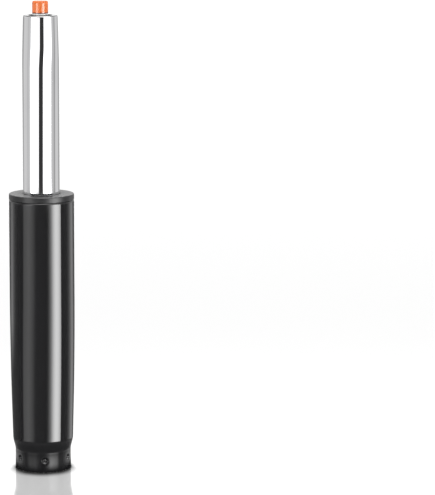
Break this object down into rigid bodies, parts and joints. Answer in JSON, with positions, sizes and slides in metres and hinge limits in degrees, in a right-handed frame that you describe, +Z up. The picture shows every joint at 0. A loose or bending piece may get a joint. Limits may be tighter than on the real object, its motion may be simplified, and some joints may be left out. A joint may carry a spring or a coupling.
{
  "type": "chair gas lift cylinder",
  "caption": "Height-adjusting gas spring for a swivel chair: a black tapered column with a dark collar, a chromed lift tube and an orange release button.",
  "frame": {"origin": "centre of the column's foot rim, on the plane that the rim stands on", "axes": "+Z up along the cylinder's axis towards the release button; one crimp faces 3 degrees to the +X side of -Y"},
  "size_m": [0.05, 0.05, 0.3633],
  "materials": {
    "gloss_black_paint": "gloss black stove enamel",
    "chrome": "hard chrome plate, ground and polished",
    "collar_plastic": "dark grey moulded plastic, satin",
    "orange_plastic": "orange moulded plastic, gloss",
    "white_plastic": "white moulded plastic",
    "zinc_plate": "zinc plated steel",
    "ground_steel": "ground steel",
    "bearing_steel": "hardened and polished steel",
    "spring_steel": "blackened spring steel",
    "drawn_steel": "drawn steel, lightly oiled",
    "brass": "turned brass",
    "aluminium": "turned aluminium",
    "guide_plastic": "natural engineering plastic",
    "buffer_rubber": "black rubber",
    "seal_rubber": "black nitrile rubber"
  },
  "bodies": {
    "column": {"column_tube": "gloss_black_paint", "guide_sleeve": "collar_plastic", "bottom_plate": "zinc_plate", "lower_race": "bearing_steel"},
    "bearing_cage": {"bearing_cage": "brass", "bearing_balls": "bearing_steel"},
    "rod": {"piston_rod": "ground_steel", "upper_race": "bearing_steel", "support_washer": "zinc_plate", "rubber_buffer": "buffer_rubber", "bottom_washer": "zinc_plate", "retaining_clip": "spring_steel", "piston_lower_washer": "zinc_plate", "piston": "aluminium", "piston_seal": "seal_rubber", "piston_ring": "guide_plastic", "piston_upper_washer": "zinc_plate"},
    "lift_tube": {"lift_tube": "chrome", "inner_cylinder": "drawn_steel", "end_washer": "zinc_plate", "rod_seal": "seal_rubber", "rod_guide": "guide_plastic", "rod_guide_seal": "seal_rubber", "valve_body": "aluminium", "valve_body_seal": "seal_rubber", "inner_cylinder_seal": "seal_rubber", "upper_pin_seal": "seal_rubber", "pin_spacer": "brass", "lower_pin_seal": "seal_rubber", "pin_guide": "brass", "top_washer": "zinc_plate", "dust_ring": "seal_rubber"},
    "button": {"valve_pin": "ground_steel", "button_sleeve": "white_plastic", "release_button": "orange_plastic"}
  },
  "joints": [
    {"name": "swivel", "type": "hinge", "parent": "column", "child": "rod", "pos_m": [0, 0, 0.0174], "axis": [0, 0, 1], "continuous": true},
    {"name": "cage_spin", "type": "hinge", "parent": "column", "child": "bearing_cage", "pos_m": [0, 0, 0.0174], "axis": [0, 0, 1], "continuous": true},
    {"name": "height", "type": "slide", "parent": "rod", "child": "lift_tube", "axis": [0, 0, 1], "range_m": [-0.1, 0]},
    {"name": "button_press", "type": "slide", "parent": "lift_tube", "child": "button", "axis": [0, 0, -1], "range_m": [0, 0.0035], "stiffness_N_per_m": 1500, "springref_m": -0.016}
  ],
  "couplings": [
    {"joint": "cage_spin", "follows": "swivel", "ratio": 0.5}
  ]
}
